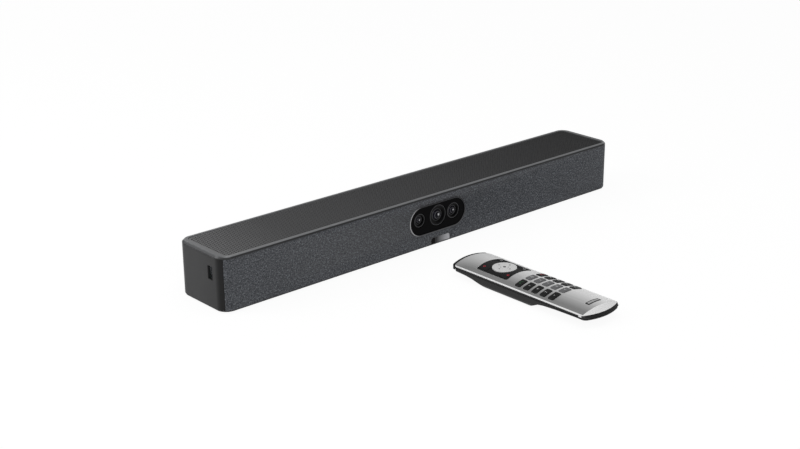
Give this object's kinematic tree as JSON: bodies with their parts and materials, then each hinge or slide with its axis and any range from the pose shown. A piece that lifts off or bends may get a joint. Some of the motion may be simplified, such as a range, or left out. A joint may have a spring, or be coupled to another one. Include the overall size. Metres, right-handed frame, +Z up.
{
  "type": "conference camera",
  "caption": "Long fabric-fronted video bar with a lens window in the middle, a perforated top and feet, and a slim keypad remote lying before it.",
  "frame": {"origin": "mouth of the tripod socket, in the middle of the bar's underside", "axes": "+X along the bar to its right end seen from the front, -Y the way the bar looks, +Z up"},
  "size_m": [0.55, 0.328, 0.057],
  "materials": {
    "housing": "fine matt grain",
    "cover": "matt",
    "rim": "satin grey",
    "grille": "satin dark grey, perforated",
    "inner_metal": "matt black",
    "fabric": "tight woven dark heather",
    "inner_plastic": "matt",
    "bezel": "satin",
    "window": "polished black",
    "barrel": "satin black",
    "lens_glass": "coated, polished",
    "bracket": "milled",
    "circuit": "solder mask",
    "diffuser": "milky",
    "speaker": "matt black",
    "driver": "satin",
    "cone": "matt pulp",
    "sink": "extruded",
    "socket": "plated",
    "button": "satin",
    "foot": "matt",
    "brass": "machined",
    "screw": "plated",
    "copper": "etched foil",
    "remote_black": "semi-matt",
    "remote_silver": "satin silver",
    "remote_gloss": "polished",
    "battery": "printed sleeve",
    "mat": "silicone",
    "ring_silver": "satin silver",
    "key_green": "satin rubber",
    "key": "satin rubber",
    "key_red": "satin rubber"
  },
  "bodies": {
    "bar": {"rear_housing": "housing", "bottom_cover": "cover", "top_frame": "rim", "top_grille": "grille", "front_grille": "inner_metal", "front_fabric": "fabric", "front_baffle": "inner_plastic", "window_bezel": "bezel", "window_panel": "window", "lens_barrels": "barrel", "lens_glasses": "lens_glass", "camera_bracket": "bracket", "sensor_boards": "circuit", "status_window": "window", "status_diffuser": "diffuser", "front_boards": "circuit", "speaker_boxes": "speaker", "speaker_drivers": "driver", "main_board": "circuit", "heat_sink": "sink", "port_sockets": "socket", "rear_port_plate": "inner_plastic", "rubber_feet": "foot", "threaded_inserts": "brass", "cover_screws": "screw", "antennas": "copper"},
    "left_cone": {"left_speaker_cone": "cone"},
    "right_cone": {"right_speaker_cone": "cone"},
    "reset": {"reset_button": "button"},
    "remote": {"remote_shell": "remote_black", "remote_plate": "remote_silver", "nose_window": "remote_gloss", "badge_plate": "remote_black", "batteries": "battery", "remote_board": "circuit", "key_mat": "mat", "nav_panel": "remote_gloss"},
    "lid": {"battery_cover": "remote_black"},
    "pad": {"nav_pad": "mat"},
    "ring": {"nav_ring": "ring_silver"},
    "ok": {"ok_button": "ring_silver"},
    "call_key": {"call_key": "key_green"},
    "menu_key": {"menu_key": "key"},
    "end_key": {"end_key": "key_red"},
    "key_1": {"key_1": "key"},
    "key_2": {"key_2": "key"},
    "key_3": {"key_3": "key"},
    "key_4": {"key_4": "key"},
    "key_5": {"key_5": "key"},
    "key_6": {"key_6": "key"},
    "key_7": {"key_7": "key"},
    "key_8": {"key_8": "key"},
    "key_9": {"key_9": "key"},
    "key_star": {"key_star": "key"},
    "key_0": {"key_0": "key"},
    "key_hash": {"key_hash": "key"},
    "power_key": {"power_key": "remote_gloss"},
    "home_key": {"home_key": "remote_gloss"},
    "mute_key": {"mute_key": "remote_gloss"},
    "back_key": {"back_key": "remote_gloss"}
  },
  "joints": [
    {"name": "remote_lift", "type": "slide", "parent": "bar", "child": "remote", "axis": [0, 0, 1], "range_m": [0, 0.15]},
    {"name": "left_cone_travel", "type": "slide", "parent": "bar", "child": "left_cone", "axis": [0, 1, 0], "range_m": [-0.0015, 0.0015], "stiffness_N_per_m": 900},
    {"name": "right_cone_travel", "type": "slide", "parent": "bar", "child": "right_cone", "axis": [0, 1, 0], "range_m": [-0.0015, 0.0015], "stiffness_N_per_m": 900},
    {"name": "reset_press", "type": "slide", "parent": "bar", "child": "reset", "axis": [0, -1, 0], "range_m": [0, 0.0006], "stiffness_N_per_m": 1200},
    {"name": "battery_cover_slide", "type": "slide", "parent": "remote", "child": "lid", "axis": [0, -1, 0], "range_m": [0, 0.03]},
    {"name": "ring_tilt_fore_aft", "type": "hinge", "parent": "remote", "child": "pad", "pos_m": [-0.026, -0.1603, 0.0151], "axis": [1, 0, 0], "range_deg": [-2, 2], "stiffness_Nm_per_rad": 0.15},
    {"name": "ring_tilt_left_right", "type": "hinge", "parent": "pad", "child": "ring", "pos_m": [-0.026, -0.1603, 0.0151], "axis": [0, 1, 0], "range_deg": [-2, 2], "stiffness_Nm_per_rad": 0.15},
    {"name": "ok_press", "type": "slide", "parent": "remote", "child": "ok", "axis": [0, 0, -1], "range_m": [0, 0.0005], "stiffness_N_per_m": 1200},
    {"name": "call_key_press", "type": "slide", "parent": "remote", "child": "call_key", "axis": [0, 0, -1], "range_m": [0, 0.0005], "stiffness_N_per_m": 1200},
    {"name": "menu_key_press", "type": "slide", "parent": "remote", "child": "menu_key", "axis": [0, 0, -1], "range_m": [0, 0.0005], "stiffness_N_per_m": 1200},
    {"name": "end_key_press", "type": "slide", "parent": "remote", "child": "end_key", "axis": [0, 0, -1], "range_m": [0, 0.0005], "stiffness_N_per_m": 1200},
    {"name": "key_1_press", "type": "slide", "parent": "remote", "child": "key_1", "axis": [0, 0, -1], "range_m": [0, 0.0005], "stiffness_N_per_m": 1200},
    {"name": "key_2_press", "type": "slide", "parent": "remote", "child": "key_2", "axis": [0, 0, -1], "range_m": [0, 0.0005], "stiffness_N_per_m": 1200},
    {"name": "key_3_press", "type": "slide", "parent": "remote", "child": "key_3", "axis": [0, 0, -1], "range_m": [0, 0.0005], "stiffness_N_per_m": 1200},
    {"name": "key_4_press", "type": "slide", "parent": "remote", "child": "key_4", "axis": [0, 0, -1], "range_m": [0, 0.0005], "stiffness_N_per_m": 1200},
    {"name": "key_5_press", "type": "slide", "parent": "remote", "child": "key_5", "axis": [0, 0, -1], "range_m": [0, 0.0005], "stiffness_N_per_m": 1200},
    {"name": "key_6_press", "type": "slide", "parent": "remote", "child": "key_6", "axis": [0, 0, -1], "range_m": [0, 0.0005], "stiffness_N_per_m": 1200},
    {"name": "key_7_press", "type": "slide", "parent": "remote", "child": "key_7", "axis": [0, 0, -1], "range_m": [0, 0.0005], "stiffness_N_per_m": 1200},
    {"name": "key_8_press", "type": "slide", "parent": "remote", "child": "key_8", "axis": [0, 0, -1], "range_m": [0, 0.0005], "stiffness_N_per_m": 1200},
    {"name": "key_9_press", "type": "slide", "parent": "remote", "child": "key_9", "axis": [0, 0, -1], "range_m": [0, 0.0005], "stiffness_N_per_m": 1200},
    {"name": "key_star_press", "type": "slide", "parent": "remote", "child": "key_star", "axis": [0, 0, -1], "range_m": [0, 0.0005], "stiffness_N_per_m": 1200},
    {"name": "key_0_press", "type": "slide", "parent": "remote", "child": "key_0", "axis": [0, 0, -1], "range_m": [0, 0.0005], "stiffness_N_per_m": 1200},
    {"name": "key_hash_press", "type": "slide", "parent": "remote", "child": "key_hash", "axis": [0, 0, -1], "range_m": [0, 0.0005], "stiffness_N_per_m": 1200},
    {"name": "power_key_press", "type": "slide", "parent": "remote", "child": "power_key", "axis": [0, 0, -1], "range_m": [0, 0.0005], "stiffness_N_per_m": 1200},
    {"name": "home_key_press", "type": "slide", "parent": "remote", "child": "home_key", "axis": [0, 0, -1], "range_m": [0, 0.0005], "stiffness_N_per_m": 1200},
    {"name": "mute_key_press", "type": "slide", "parent": "remote", "child": "mute_key", "axis": [0, 0, -1], "range_m": [0, 0.0005], "stiffness_N_per_m": 1200},
    {"name": "back_key_press", "type": "slide", "parent": "remote", "child": "back_key", "axis": [0, 0, -1], "range_m": [0, 0.0005], "stiffness_N_per_m": 1200}
  ]
}
